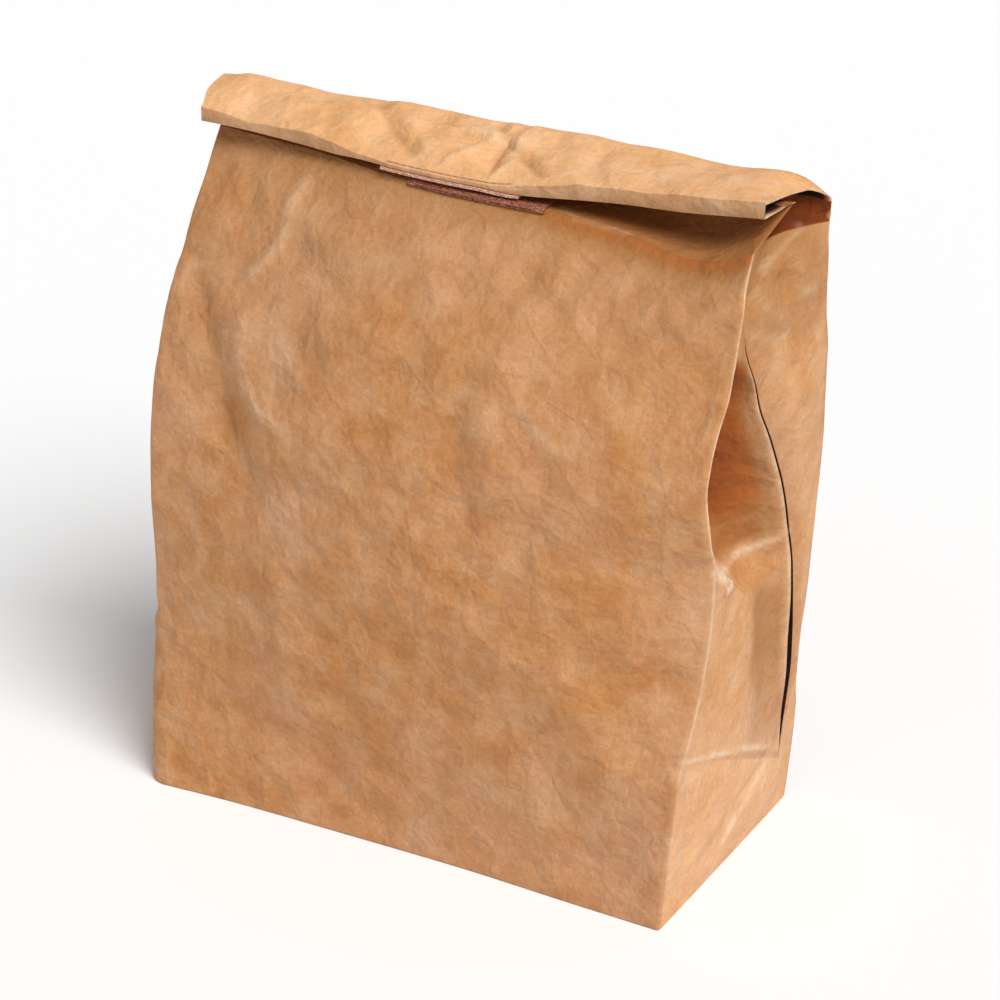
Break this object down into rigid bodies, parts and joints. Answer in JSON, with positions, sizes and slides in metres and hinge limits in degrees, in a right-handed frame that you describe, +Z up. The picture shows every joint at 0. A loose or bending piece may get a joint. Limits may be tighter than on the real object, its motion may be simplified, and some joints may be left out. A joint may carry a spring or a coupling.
{
  "type": "paper lunch bag",
  "caption": "Block-bottom lunch bag of creased brown kraft paper with tucked side gussets, its top rolled forward flat and held by a hook and loop tape.",
  "frame": {"origin": "centre of the bounding box, at the height of the base that it stands on", "axes": "+Z up from the base, -Y towards the front panel, +X towards the right gusset seen from the front"},
  "size_m": [0.2424, 0.113, 0.2616],
  "materials": {
    "kraft_paper": "satin, mottled and creased",
    "woven_tape": "matt woven",
    "sewing_thread": "matt"
  },
  "bodies": {
    "root": {"bag_body": "kraft_paper", "hook_strip": "woven_tape", "loop_strip": "woven_tape", "hook_strip_thread": "sewing_thread", "loop_strip_thread": "sewing_thread"}
  },
  "joints": []
}
